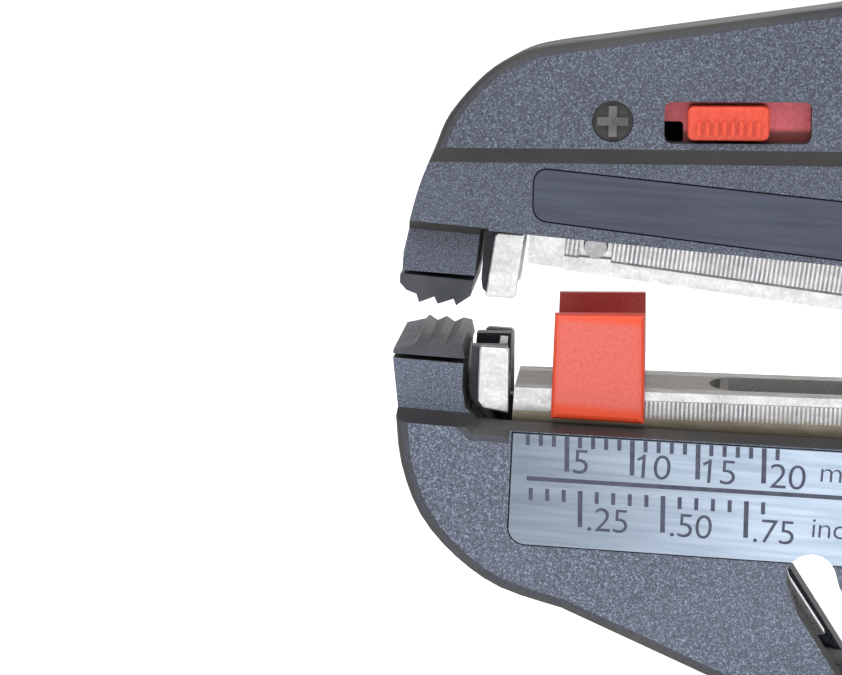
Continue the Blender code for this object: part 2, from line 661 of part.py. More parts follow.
def lower_drawbar(parent):
    """Lower toothed bar: rack part, then a half-lapped tail with the slot for the cross pin."""
    def base(x):
        return lower_bar_top(x) - BAR_HEIGHT

    outline = [(8.95, base(8.95)), (BAR_END_X, base(BAR_END_X)), (BAR_END_X, lower_bar_top(BAR_END_X)),
               (8.95, lower_bar_top(8.95))]
    bar = slab("lower_drawbar", outline, -BAR_HALF, BAR_HALF)
    tail = [(BAR_END_X - 2.0, base(BAR_END_X) + 0.3), (TAIL_END_X, base(TAIL_END_X) + 0.3),
            (TAIL_END_X, 3.0), (77.0, 3.0), (75.0, -2.4), (BAR_END_X - 2.0, -3.2)]
    join(bar, slab("tail", tail, -LAP_OUTER, -LAP_INNER))
    cut(bar, slab("pin_slot", round_rectangle(80.5, 83.5, -2.7, 1.9, 1.4), -5.0, 5.0))
    plan = arc((26.4, 0.0), GROOVE_HALF, 90.0, 270.0, 10) + [(54.0, -GROOVE_HALF), (54.0, GROOVE_HALF)]
    rings = [[to_world(x, y, lower_bar_top(x) + rise) for x, y in plan] for rise in (-1.5, 1.0)]
    cut(bar, mesh_from_rings("groove", rings))
    cut(bar, slab("cutter_seat", rectangle(21.5, 32.5, -15.0, lower_bar_top(27.0) - 2.4), 0.5, 2.3))
    return finish(bar, "bright_steel", parent)


def upper_drawbar(parent):
    """Upper toothed bar: rack part, then a half-lapped tail with the long slot for the cross pin."""
    def top(x):
        return upper_bar_bottom(x) + BAR_HEIGHT

    outline = [(9.15, upper_bar_bottom(9.15)), (BAR_END_X, upper_bar_bottom(BAR_END_X)),
               (BAR_END_X, top(BAR_END_X)), (9.15, top(9.15))]
    bar = slab("upper_drawbar", outline, -BAR_HALF, BAR_HALF)
    tail = [(BAR_END_X - 2.0, 1.2), (74.0, 0.6), (77.0, -3.3), (TAIL_END_X, -3.3), (TAIL_END_X, 6.7),
            (74.0, 6.7), (BAR_END_X - 2.0, top(BAR_END_X) - 0.4)]
    join(bar, slab("tail", tail, LAP_OUTER, LAP_INNER))
    cut(bar, slab("pin_slot", round_rectangle(80.5, 83.5, -2.1, 5.5, 1.4), -5.0, 5.0))
    cut(bar, slab("front_step", rectangle(5.0, 11.9, 0.0, 12.0), -2.95, -6.0))
    cut(bar, slab("pin_recess", rectangle(13.1, 15.6, 5.0, 12.0), -3.2, -6.0))
    cut(bar, rod("pin_hole", LOCK_PIN, LOCK_RADIUS + 0.08, -6.0, 6.0))
    return finish(bar, "bright_steel", parent)


def upper_bar_pin(parent):
    """Cross pin that locks the blade holder's stem in the upper drawbar."""
    return finish(rod("upper_bar_pin", LOCK_PIN, LOCK_RADIUS, -4.0, 4.0), "bright_steel", parent)


def moving_cutter_blade(parent):
    """Plate under the lower drawbar that shears a cable across the oblique slot."""
    outline = [(22.0, -8.0), (32.0, -7.6), (32.0, -13.0), (30.4, -16.5), (31.05, -18.3), (32.1, -20.8),
               (35.3, -25.05), (34.2, -25.4), (24.5, -19.5), (22.0, -13.0)]
    plate = slab("moving_cutter_blade", outline, 0.8, 2.0)
    return finish(plate, "blade_steel", parent)


def length_stop(parent):
    """Red U-shaped clip astride the lower drawbar, with the wall that the wire's end meets."""
    side_outline = [(11.97, -7.75), (19.25, -7.55), (18.55, 1.1), (11.67, 0.55)]
    clip = slab("length_stop", side_outline, 0.0, -5.0, 0.5)
    join(clip, slab("rear_side", side_outline, 0.0, 5.0, 0.5))
    inner = BAR_HALF + 0.25
    bar_space = [(8.0, -9.0), (24.0, -9.0), (24.0, lower_bar_top(24.0) + GAP),
                 (8.0, lower_bar_top(8.0) + GAP)]
    open_top = [(8.0, -1.3), (13.2, -1.3), (13.2, -3.9), (24.0, -3.3), (24.0, 4.0), (8.0, 4.0)]
    cut(clip, slab("bar_space", bar_space, -inner, inner), slab("open_top", open_top, -inner, inner))
    return finish(clip, "stop_red", parent)


# ---- lever and carriage --------------------------------------------------------------------------

def lever_core(parent):
    """Steel heart of the moving handle: hub, arm with the drive pin, and handle tang."""
    arm = [(96.5, -32.0), (88.6, -1.0), (90.5, 10.0), (98.0, 20.0), (114.0, 27.5), (150.0, 37.5),
           (186.0, 44.5), (187.0, 38.0), (151.0, 31.0), (116.0, 21.0), (104.0, 14.0), (100.5, 6.0),
           (100.5, -2.0), (109.5, -32.0)]
    core = slab("lever_core", arm, -2.0, 2.0)
    join(core, rod("hub", LEVER_PIVOT, 9.0, -2.0, 2.0, ROUND_STEPS))
    cut(core, rod("bush_hole", LEVER_PIVOT, 4.5, -5.0, 5.0, ROUND_STEPS),
        rod("pin_hole", DRIVE_PIN, PIN_RADIUS + RUNNING, -5.0, 5.0, PIN_STEPS))
    for point in LEVER_SCREWS:
        cut(core, rod("screw_hole", point, SCREW_RADIUS + GAP, -5.0, 5.0))
    return finish(core, "bright_steel", parent)


def lever_bush(parent):
    """Bearing bush in the lever's hub."""
    bush = rod("lever_bush", LEVER_PIVOT, 4.2, -2.1, 2.1, ROUND_STEPS)
    cut(bush, rod("bore", LEVER_PIVOT, STUD_RADIUS + RUNNING, -5.0, 5.0, ROUND_STEPS))
    return finish(bush, "screw_zinc", parent)


def drive_pin(parent):
    """Pin in the lever that drives the carriage's slots."""
    pin = rod("drive_pin", DRIVE_PIN, PIN_RADIUS, -3.8, 3.8, PIN_STEPS)
    return finish(pin, "blade_steel", parent)


def lever_shell(side, parent):
    """One half of the moving handle's plastic body."""
    name = "lever_front_shell" if side < 0 else "lever_rear_shell"
    outline = [(117.0, 18.6), (116.4, 22.5), (118.0, 28.5), (121.5, 31.6), (128.0, 34.0), (150.0, 38.6),
               (188.0, 46.0), (190.0, 41.5), (189.0, 37.0), (152.0, 29.6), (130.0, 23.0), (121.0, 18.4)]
    neck = [(121.0, 19.0), (112.0, 17.2), (104.5, 14.4), (98.5, 14.0), (97.0, 19.0), (102.0, 25.5),
            (111.0, 31.0), (121.0, 33.2)]
    shell = slab(name, outline, side * 2.3, side * 6.6, 1.0)
    join(shell, slab("neck", neck, side * 2.35, side * 5.2, 0.7))
    for point in LEVER_SCREWS:
        if side < 0:
            cut(shell, rod("hole", point, SCREW_RADIUS + RUNNING, 0.0, -5.2))
        else:
            cut(shell, rod("hole", point, SCREW_RADIUS + GAP, 0.0, 9.0),
                rod("counterbore", point, SCREW_HEAD + GAP, 5.0, 9.0))
    return finish(shell, "housing_blue", parent)


def upper_handle_grip(parent):
    """Soft grip of the moving handle."""
    stations = [
        (129.5, 29.0, 8.4, 7.8), (133.0, 30.2, 9.2, 8.6), (142.0, 32.4, 9.0, 8.9), (154.0, 35.0, 8.8, 8.9),
        (167.0, 37.5, 8.8, 8.9), (180.0, 39.9, 9.0, 8.9), (191.0, 41.8, 9.2, 8.7), (197.0, 42.9, 8.2, 7.6),
        (200.0, 43.4, 5.8, 5.2)]
    hollow = [(110.0, 16.4), (110.0, 31.2), (128.0, 34.3), (150.0, 38.9), (191.0, 46.9), (191.0, 37.1),
              (152.0, 29.3), (130.0, 22.7)]
    return handle_grip("upper_handle_grip", stations, hollow, 6.9, parent)


def carriage(parent):
    """Sliding frame that carries the lever's stroke to both drawbars."""
    frame = slab("carriage", round_rectangle(78.0, 99.0, -10.0, 10.0, 2.5), -3.8, 3.8)
    cut(frame, slab("inner_space", rectangle(70.0, 110.0, -7.6, 7.6), -2.8, 2.8))
    for low in (6.0, -12.0):
        cut(frame, slab("lever_space", rectangle(84.5, 110.0, low, low + 6.0), -2.8, 2.8))
    cut(frame, slab("drive_slot", round_rectangle(DRIVE_PIN[0] - 2.3, DRIVE_PIN[0] + 2.3, -3.2, 3.6, 2.2),
                    -6.0, 6.0))
    cut(frame, rod("pin_hole", CROSS_PIN, CROSS_RADIUS + RUNNING, -6.0, 6.0))
    return finish(frame, "bright_steel", parent)


def cross_pin(parent):
    """Pin through the carriage and both drawbar tails."""
    return finish(rod("cross_pin", CROSS_PIN, CROSS_RADIUS, -3.7, 3.7), "blade_steel", parent)


# ---- assembly ------------------------------------------------------------------------------------

def build_fixed_body(root):
    """Everything that stays with the lower handle."""
    for shell in both_sides(lower_shell):
        finish(shell, "housing_blue", root)
    lower_grip_jaw(root)
    scale_plate(root)
    lower_guide_rail(root)
    fixed_cutter_blade(root)
    pivot_stud(-1, root)
    pivot_stud(1, root)
    lever_pivot_pin(root)
    return_spring(root)
    screws("housing_screw", LOWER_SCREWS, -4.8, 6.2, 7.3, "screw_zinc", root)
    lower_handle_grip(root)


def build_upper_jaw(jaw):
    """Everything that turns with the upper jaw."""
    for shell in both_sides(upper_shell):
        finish(shell, "housing_blue", jaw)
    upper_grip_jaw(jaw)
    label_plate(jaw)
    upper_guide_rail(jaw)
    screws("jaw_screw", UPPER_SCREWS, -4.8, 6.2, 7.0, "screw_zinc", jaw)


def build_drawbars(lower, upper):
    """Both drawbars with their blades."""
    lower_drawbar(lower)
    blade_holder("lower_blade_holder", LOWER_HOLDER, -5.8, 0.0, lower)
    cheek_plates("lower_cheek", LOWER_CHEEK, lower)
    blade("lower_blade", -1.0, -5.5, -2.9, lower)
    moving_cutter_blade(lower)
    upper_drawbar(upper)
    blade_holder("upper_blade_holder", UPPER_HOLDER, 0.0, 4.7, upper)
    cheek_plates("upper_cheek", UPPER_CHEEK, upper)
    blade("upper_blade", 1.0, 4.4, 1.6, upper)
    upper_bar_pin(upper)


def build_lever(lever):
    """The moving handle."""
    lever_core(lever)
    lever_bush(lever)
    drive_pin(lever)
    lever_shell(-1, lever)
    lever_shell(1, lever)
    screws("lever_screw", LEVER_SCREWS, -5.0, 5.3, 6.3, "screw_zinc", lever)
    upper_handle_grip(lever)


def main():
    """Clear the scene and build the tool."""
    for obj in list(bpy.data.objects):
        bpy.data.objects.remove(obj, do_unlink=True)
    root = axis_empty("fixed_body_frame", (MIDDLE_X, FOOT_Z))
    jaw = axis_empty("jaw_axis", JAW_PIVOT, root)
    lever = axis_empty("lever_axis", LEVER_PIVOT, root)
    sledge = axis_empty("carriage_axis", CROSS_PIN, root)
    lower = axis_empty("lower_bar_axis", (8.55, -5.76), root)
    upper = axis_empty("upper_bar_axis", (11.55, 3.9), jaw)
    build_fixed_body(root)
    build_upper_jaw(jaw)
    adjust_slider(axis_empty("slide_axis", (24.1, 16.7), jaw))
    build_drawbars(lower, upper)
    length_stop(axis_empty("stop_axis", (15.0, -5.0), lower))
    build_lever(lever)
    carriage(sledge)
    cross_pin(sledge)


main()
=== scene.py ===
"""Looks of the self-adjusting wire stripper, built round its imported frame. Lengths are in metres."""
import json
import math

import bmesh
import bpy
from mathutils import Matrix, Vector

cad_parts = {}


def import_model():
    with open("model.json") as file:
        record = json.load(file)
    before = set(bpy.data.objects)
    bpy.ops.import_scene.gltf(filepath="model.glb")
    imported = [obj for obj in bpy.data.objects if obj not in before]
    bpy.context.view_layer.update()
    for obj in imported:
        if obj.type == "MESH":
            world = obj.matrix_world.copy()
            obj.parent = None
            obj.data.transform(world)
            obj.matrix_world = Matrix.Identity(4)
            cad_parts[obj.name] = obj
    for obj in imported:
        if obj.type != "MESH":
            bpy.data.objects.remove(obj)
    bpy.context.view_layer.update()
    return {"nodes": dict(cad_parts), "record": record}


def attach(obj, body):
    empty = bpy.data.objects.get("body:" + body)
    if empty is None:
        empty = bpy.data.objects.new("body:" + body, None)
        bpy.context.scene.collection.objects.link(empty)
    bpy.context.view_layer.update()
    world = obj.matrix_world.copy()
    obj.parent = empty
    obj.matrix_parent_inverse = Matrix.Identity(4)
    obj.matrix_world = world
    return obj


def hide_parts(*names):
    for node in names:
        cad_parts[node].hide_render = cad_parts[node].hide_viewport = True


# The tool's own frame: x runs back from the nose, z is up from the drawbars' middle, in millimetres.
MM = 0.001
MIDDLE_X = 99.7
FOOT_Z = -50.0

# Camera, in the tool's frame, with its angles in degrees and its clipping in metres.
CAMERA_PLACE = (16.99, -179.9, 38.0)
CAMERA_AZIMUTH = 5.065
CAMERA_ELEVATION = 12.869
CAMERA_ROLL = 3.811
CAMERA_LENS = 99.32
SENSOR_WIDTH = 36.0
CLIP_START = 0.01
CLIP_END = 20.0

# Floor, room and lights, in metres and watts: each light is its name, place, size and power.
FLOOR_HALF = 6.0
FLOOR_SHADE = 0.93
ROOM_STRENGTH = 0.80
LIGHT_AIM = (-0.05, 0.0, 0.05)
LIGHTS = (
    ("key", (-0.30, -0.50, 0.80), 0.45, 7.2),
    ("fill", (0.60, -0.50, 0.35), 0.50, 2.2),
    ("back", (0.10, 0.75, 0.70), 0.70, 3.8),
)

# Where a paint changes on the surface, in metres.
# Bounds of the painted shade in the lower drawbar's groove.
GROOVE_HALF = 0.0023
GROOVE_BLUR = 0.00005
# The stop's inner faces, which get painted shade, and the bands at its top and bottom, which get painted
# edge light.
STOP_SIDE = (0.0044, 0.0049)
STOP_GRAIN_FOOT = (0.0433, 0.0438)
STOP_GRAIN_TOP = (0.0506, 0.0500)
SLIDE_BUTTON = (0.0057, 0.0060)
SLIDE_SHADE_START = 0.00095
SLIDE_SHADE_END = 0.00055
EDGE_BREAK = 0.00012
BREAK_ANGLE = 50.0

# The depth slide, in the tool's frame.
SLIDE_MIDDLE = (24.1, 16.7)
SLIDE_TILT = math.radians(4.2)

# Side faces, as y or as half widths.
PLATE_FRONT = -7.6
INK_FLOOR = PLATE_FRONT + 0.01
INK_FRONT = -7.615
HOUSING_HALF = 7.5
DISC_FLOOR = -7.1
BAR_HALF = 3.7
SIDES = ((-1.0, "front"), (1.0, "rear"))

# Racks: each is its name, the two ends of its lower edge, tilt, height, body, and valley paint, which is
# painted shade between the teeth.
LOWER_TILT = math.radians(3.0)
UPPER_TILT = math.radians(-3.5)
RACKS = (
    ("lower_rack", (19.2, -7.3), (60.0, -5.16), LOWER_TILT, 1.4, "lower_bar", "valley"),
    ("upper_rack_nose", (12.0, 5.17), (13.1, 5.10), UPPER_TILT, 2.15, "upper_bar", "pale_valley"),
    ("upper_rack", (15.6, 4.95), (60.0, 2.23), UPPER_TILT, 2.15, "upper_bar", "pale_valley"),
)
VALLEY_PROUD = 0.02
TOOTH_PITCH = 0.345
TOOTH_PROUD = 0.10
TOOTH_ROOT = 0.42
TOOTH_CREST = 0.24
TOOTH_SUNK = -0.02

# Strips of painted shade along the foot of the upper racks, on the drawbars' sides, as the ends of their
# lower edges.
UPPER_FOOT_SHADES = (
    ("upper_foot_shade_nose", (12.0, 4.97), (13.1, 4.90)),
    ("upper_foot_shade", (15.6, 4.75), (60.0, 2.03)),
)
FOOT_SHADE_HEIGHT = 0.2
BAR_FOOT = ((9.0, -9.3), (60.0, -6.7))
BAR_FOOT_HEIGHT = 1.75
BAR_FOOT_PROUD = 0.02

# Length scale: its upper edge, its rows of marks and its figures. A row is its numbers, pitch, drop
# from the upper edge, and long and short mark. A figure is its number and its shift along the scale.
SCALE_ZERO_X = 8.43
SCALE_EDGE = (9.3, -8.43)
SCALE_SLOPE = 0.031
INCH_TWENTIETH = 1.27
MARK_ROWS = (
    (range(2, 22), 1.0, 0.0, 2.75, 0.85),
    (range(2, 17), INCH_TWENTIETH, 4.25, 2.9, 0.95),
)
LONG_MARK_EVERY = 5
LONG_MARK_WIDTH = 0.36
SHORT_MARK_WIDTH = 0.31
MARK_SLANT = 0.07
DIVIDER = ((10.6, -11.88), (45.5, -10.85))
DIVIDER_WIDTH = 0.34
MM_FIGURES = ((5, 0.50), (10, 0.28), (15, 0.30), (20, 0.52))
MM_FIGURE_SIZE = 2.8
MM_FIGURE_FOOT = -11.24
MM_FIGURE_RISE = 0.018
INCH_FIGURES = (".25", ".50", ".75")
INCH_FIGURE_SIZE = 2.74
INCH_FIGURE_SHIFT = 0.62
INCH_FIGURE_FOOT = -15.78
INCH_FIGURE_RISE = 0.160
UNITS = (("scale_unit_mm", "mm", 32.7, -10.05), ("scale_unit_inch", "inch", 32.5, -14.5))
UNIT_SIZE = 2.3
FIGURE_WIDTH = 1.07
FIGURE_TILT = 1.2
FIGURE_DEPTH = 0.012
FIGURE_THINNING = -0.022
FIGURE_SPACING = 0.95

# Flags of the figures one, from the foot of the figure.
FLAGGED = (10, 15)
FLAG_STEM_X = 0.90
FLAG_RISE = 1.74
FLAG_REACH = 0.38
FLAG_DROP = 0.30
FLAG_TOP = 0.05
FLAG_WIDTH = 0.20

# Plus and minus discs on the upper jaw: each is its name, middle and whether it is a plus.
SIGNS = (("plus", 14.9, 16.1, True), ("minus", 33.8, 17.9, False))
DISC_RADIUS = 1.50
DISC_CORNERS = 40
DISC_SUNK = 0.02
DISC_PROUD = 0.04
SIGN_REACH = 1.15
SIGN_HALF = 0.31
SIGN_TILT = 0.07
SIGN_SUNK = 0.05

# Raised bands on the hinge cheeks, with their angles in degrees.
JAW_PIVOT = (72.0, 0.0)
LEVER_PIVOT = (102.0, -38.0)
RIM_FLOOR = 7.45
RIM_PROUD = 0.35
RIM_SOFTNESS = 0.25
ARC_RADII = (19.6, 20.4)
ARC_ANGLES = (66.0, 196.0)
ARC_STEPS = 52
PIVOT_RIMS = (("jaw", JAW_PIVOT, 5.6), ("lever", LEVER_PIVOT, 5.4))
PIVOT_RIM_WIDTH = 0.9
PIVOT_RIM_STEPS = 48
RIM_SMOOTH = 30.0

# Handles: each station is x, middle z, half height and half width.
LOWER_GRIP = (
    (126.5, -39.4, 9.0, 7.6), (130.0, -39.6, 9.8, 8.4), (140.0, -40.2, 9.4, 8.8),
    (153.0, -40.6, 8.9, 8.8), (167.0, -40.8, 9.2, 8.8), (180.0, -40.88, 9.1, 8.8),
    (192.0, -40.88, 9.1, 8.6), (197.5, -40.8, 8.0, 7.4), (200.0, -40.8, 5.6, 5.0),
)
UPPER_GRIP = (
    (129.5, 29.0, 8.4, 7.8), (133.0, 30.2, 9.2, 8.6), (142.0, 32.4, 9.0, 8.8),
    (154.0, 35.0, 8.8, 8.8), (167.0, 37.5, 8.8, 8.8), (180.0, 39.9, 9.0, 8.8),
    (191.0, 41.7, 9.1, 8.6), (197.0, 42.9, 8.1, 7.6), (200.0, 43.4, 5.8, 5.2),
)
GRIP_STEPS = 12
GRIP_CORNERS = 64
GRIP_ROUNDNESS = 2 / 3
GRIP_SMOOTH = 40.0
GROOVE_START = 10.0
GROOVE_PITCH = 11.0
GROOVE_COUNT = 4
GROOVE_DEPTH = 0.9
SEAM_DEPTH = 0.15
SEAM_HALF = 0.035
SEAM_END = 1.0

# Colours shared by several paints.
STEEL_DARK = (0.50, 0.50, 0.505)
STEEL_LIGHT = (0.68, 0.685, 0.69)
EVEN = (1.0, 1.0, 1.0)
LENGTHWISE = (0.3, 1.0, 1.0)

# Machined pieces whose sharp edges are broken.
SOFTENED = (
    "upper_drawbar", "lower_drawbar", "upper_blade_holder", "lower_blade_holder", "length_stop",
    "upper_grip_jaw", "lower_grip_jaw", "lever_core", "carriage",
)


def tool(x, y, z):
    """Tool-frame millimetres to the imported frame's metres."""
    return Vector(((x - MIDDLE_X) * MM, y * MM, (z - FOOT_Z) * MM))


# ---- materials -----------------------------------------------------------------------------------

class Paint:
    """A Principled material that is built up node by node."""

    def __init__(self, name, colour, roughness, metallic=0.0):
        self.material = bpy.data.materials.new(name)
        self.material.use_nodes = True
        self.nodes = self.material.node_tree.nodes
        self.links = self.material.node_tree.links
        self.shader = self.nodes["Principled BSDF"]
        self.shader.inputs["Base Color"].default_value = (*colour, 1.0)
        self.shader.inputs["Roughness"].default_value = roughness
        self.shader.inputs["Metallic"].default_value = metallic
        self.place = self.nodes.new("ShaderNodeTexCoord")

    def link(self, output, target):
        """Connect an output to an input."""
        self.links.new(output, target)

    def noise(self, scale, detail=2.0, stretch=(1.0, 1.0, 1.0)):
        """Noise over the object, with scale in features per metre."""
        mapping = self.nodes.new("ShaderNodeMapping")
        mapping.inputs["Scale"].default_value = stretch
        self.link(self.place.outputs["Object"], mapping.inputs["Vector"])
        noise = self.nodes.new("ShaderNodeTexNoise")
        noise.inputs["Scale"].default_value = scale
        noise.inputs["Detail"].default_value = detail
        self.link(mapping.outputs["Vector"], noise.inputs["Vector"])
        return noise.outputs["Fac"]

    def ramp(self, value, stops):
        """A colour ramp over a value: stops are (position, colour)."""
        ramp = self.nodes.new("ShaderNodeValToRGB")
        elements = ramp.color_ramp.elements
        while len(elements) < len(stops):
            elements.new(0.5)
        for element, (position, colour) in zip(elements, stops):
            element.position = position
            element.color = (*colour, 1.0)
        self.link(value, ramp.inputs["Fac"])
        return ramp.outputs["Color"]

    def span(self, value, low, high, out_low=0.0, out_high=1.0):
        """A value rescaled and clamped."""
        span = self.nodes.new("ShaderNodeMapRange")
        span.inputs["From Min"].default_value = low
        span.inputs["From Max"].default_value = high
        span.inputs["To Min"].default_value = out_low
        span.inputs["To Max"].default_value = out_high
        self.link(value, span.inputs["Value"])
        return span.outputs["Result"]

    def mix(self, factor, first, second):
        """Two colours mixed by a factor."""
        mix = self.nodes.new("ShaderNodeMix")
        mix.data_type = "RGBA"
        self.link(factor, mix.inputs["Factor"])
        for value, target in ((first, mix.inputs[6]), (second, mix.inputs[7])):
            if isinstance(value, tuple):
                target.default_value = (*value, 1.0)
            else:
                self.link(value, target)
        return mix.outputs[2]

    def math(self, operation, first, second):
        """One arithmetic step; each side is an output or a number."""
        node = self.nodes.new("ShaderNodeMath")
        node.operation = operation
        for value, target in ((first, node.inputs[0]), (second, node.inputs[1])):
            if isinstance(value, float):
                target.default_value = value
            else:
                self.link(value, target)
        return node.outputs["Value"]

    def coordinate(self, axis):
        """Where the surface is along one axis, in metres."""
        split = self.nodes.new("ShaderNodeSeparateXYZ")
        self.link(self.place.outputs["Object"], split.inputs["Vector"])
        return split.outputs[axis]

    def depth(self):
        """Distance from the tool's middle plane, in metres."""
        return self.math("ABSOLUTE", self.coordinate("Y"), 0.0)

    def facing(self, axis):
        """How squarely the surface faces along one of the object's axes, 0 to 1."""
        split = self.nodes.new("ShaderNodeSeparateXYZ")
        self.link(self.place.outputs["Normal"], split.inputs["Vector"])
        return self.math("ABSOLUTE", split.outputs[axis], 0.0)

    def bump(self, height, distance, strength=1.0):
        """Relief from a height, in metres."""
        bump = self.nodes.new("ShaderNodeBump")
        bump.inputs["Distance"].default_value = distance
        bump.inputs["Strength"].default_value = strength
        self.link(height, bump.inputs["Height"])
        self.link(bump.outputs["Normal"], self.shader.inputs["Normal"])


def shaded(colour, shade):
    """A colour made darker or lighter."""
    return tuple(channel * shade for channel in colour)


def housing_paint(name, shade):
    """Blue-grey filled nylon: sparkling grain on the flat sides, smooth on the edges with a darker brownish
    painted shade and reflection; a shade below 1 darkens it all as painted shade.
    """
    paint = Paint(name, (0.05, 0.06, 0.08), 0.45)
    flat = paint.span(paint.facing("Y"), 0.95, 0.995)
    grain = paint.noise(9000.0, 1.0)
    mottle = paint.noise(3200.0, 3.0)
    broad = paint.noise(120.0, 2.0)
    dark = shaded((0.044, 0.051, 0.074), shade)
    light = shaded((0.058, 0.066, 0.092), shade)
    base = paint.ramp(broad, [(0.35, dark), (0.65, light)])
    cloudy = paint.mix(paint.span(mottle, 0.40, 0.64), base, shaded((0.086, 0.099, 0.134), shade))
    speck = paint.math("MULTIPLY", paint.span(grain, 0.50, 0.80), flat)
    grained = paint.mix(speck, cloudy, shaded((0.27, 0.32, 0.42), shade))
    # Painted shade and reflection: a dark brownish colour on every face that is not flat on the sides.
    edge = paint.ramp(broad, [(0.3, (0.017, 0.017, 0.019)), (0.7, (0.036, 0.033, 0.030))])
    paint.link(paint.mix(flat, edge, grained), paint.shader.inputs["Base Color"])
    paint.link(paint.span(grain, 0.3, 0.7, 0.48, 0.66), paint.shader.inputs["Roughness"])
    paint.shader.inputs["Specular IOR Level"].default_value = 0.35
    paint.bump(paint.math("MULTIPLY", grain, flat), 0.00004, 0.6)
    return paint.material


def steel_paint(name, dark, light, roughness, streaks, stretch, shaded_groove=False):
    """Ground or plated steel: fine streaks, a frosty mottle, and darker, duller upper faces that are
    painted shade.
    """
    paint = Paint(name, light, roughness, 1.0)
    lines = paint.noise(streaks, 4.0, stretch)
    frost = paint.noise(4200.0, 3.0)
    mixed = paint.math("ADD", paint.math("MULTIPLY", lines, 0.5), paint.math("MULTIPLY", frost, 0.5))
    side = paint.ramp(mixed, [(0.34, dark), (0.66, light)])
    # Painted shade: darker colours for the faces that look up.
    shaded_top = paint.ramp(lines, [(0.35, (0.094, 0.088, 0.080)), (0.65, (0.172, 0.163, 0.150))])
    # Painted shade in the groove along the bar's top: dark brown within GROOVE_HALF of the middle.
    if shaded_groove:
        inside = paint.span(paint.depth(), GROOVE_HALF + GROOVE_BLUR, GROOVE_HALF - GROOVE_BLUR)
        shaded_top = paint.mix(inside, shaded_top, (0.042, 0.030, 0.018))
    top = paint.span(paint.facing("Z"), 0.86, 0.98)
    paint.link(paint.mix(top, side, shaded_top), paint.shader.inputs["Base Color"])
    sheen = paint.span(mixed, 0.3, 0.7, roughness + 0.12, roughness - 0.06)
    paint.link(sheen, paint.shader.inputs["Roughness"])
    paint.bump(mixed, 0.00001, 0.6)
    return paint.material


def blued_paint():
    """Blued, sand-blasted steel of the gripping inserts and blade holders."""
    paint = Paint("blued_paint", (0.08, 0.09, 0.12), 0.45, 0.35)
    grain = paint.noise(5200.0, 3.0)
    clouds = paint.noise(320.0, 3.0)
    paint.link(paint.ramp(clouds, [(0.35, (0.028, 0.031, 0.039)), (0.66, (0.054, 0.057, 0.068))]),
               paint.shader.inputs["Base Color"])
    paint.link(paint.span(grain, 0.3, 0.7, 0.42, 0.60), paint.shader.inputs["Roughness"])
    paint.bump(grain, 0.00002, 0.5)
    return paint.material


def red_paint():
    """Orange-red moulded plastic: grained outer sides, painted light of saturated orange on the edges and
    on bands at the top and bottom, and inner faces darkened with painted shade.
    """
    paint = Paint("red_paint", (0.75, 0.10, 0.05), 0.42)
    flat = paint.span(paint.facing("Y"), 0.9, 0.99)
    outer = paint.span(paint.depth(), *STOP_SIDE)
    grain = paint.noise(3600.0, 3.0)
    height = paint.coordinate("Z")
    above = paint.span(height, *STOP_GRAIN_FOOT)
    below = paint.span(height, *STOP_GRAIN_TOP)
    middle = paint.math("MULTIPLY", above, below)
    speckled = paint.ramp(grain, [(0.30, (0.49, 0.072, 0.052)), (0.70, (0.56, 0.104, 0.078))])
    # Painted light: saturated orange on faces that are not flat and on bands at the top and bottom, in
    # place of how light falls on the rounded edges.
    outside = paint.mix(paint.math("MULTIPLY", flat, middle), (0.58, 0.050, 0.010), speckled)
    # Painted shade: darker red on the inner faces.
    inside = paint.ramp(grain, [(0.3, (0.44, 0.040, 0.034)), (0.7, (0.56, 0.062, 0.050))])
    paint.link(paint.mix(outer, inside, outside), paint.shader.inputs["Base Color"])
    paint.shader.inputs["Subsurface Weight"].default_value = 0.06
    paint.shader.inputs["Subsurface Radius"].default_value = (0.0008, 0.0002, 0.0001)
    paint.link(paint.span(grain, 0.3, 0.7, 0.38, 0.54), paint.shader.inputs["Roughness"])
    paint.bump(paint.math("MULTIPLY", grain, flat), 0.00003, 0.6)
    return paint.material


def slide_paint():
    """Moulded depth slide: orange button on a pinker base plate with a painted shadow along its foot."""
    paint = Paint("slide_paint", (0.75, 0.10, 0.05), 0.42)
    button = paint.span(paint.depth(), *SLIDE_BUTTON)
    grain = paint.noise(3000.0, 3.0)
    pink = paint.ramp(grain, [(0.35, (0.74, 0.120, 0.150)), (0.66, (0.88, 0.170, 0.205))])
    middle = tool(SLIDE_MIDDLE[0], 0.0, SLIDE_MIDDLE[1])
    rise = paint.math("MULTIPLY", paint.coordinate("X"), math.tan(SLIDE_TILT))
    height = paint.math("SUBTRACT", paint.coordinate("Z"), rise)
    line = middle.z - middle.x * math.tan(SLIDE_TILT)
    # Painted shadow: the base plate darkens to near black along its foot.
    lit = paint.span(height, line - SLIDE_SHADE_START, line - SLIDE_SHADE_END)
    base = paint.mix(lit, (0.16, 0.022, 0.020), pink)
    cap = paint.ramp(grain, [(0.35, (0.49, 0.036, 0.012)), (0.66, (0.56, 0.058, 0.026))])
    paint.link(paint.mix(button, base, cap), paint.shader.inputs["Base Color"])
    paint.link(paint.span(grain, 0.3, 0.7, 0.34, 0.48), paint.shader.inputs["Roughness"])
    paint.bump(grain, 0.00002, 0.4)
    return paint.material


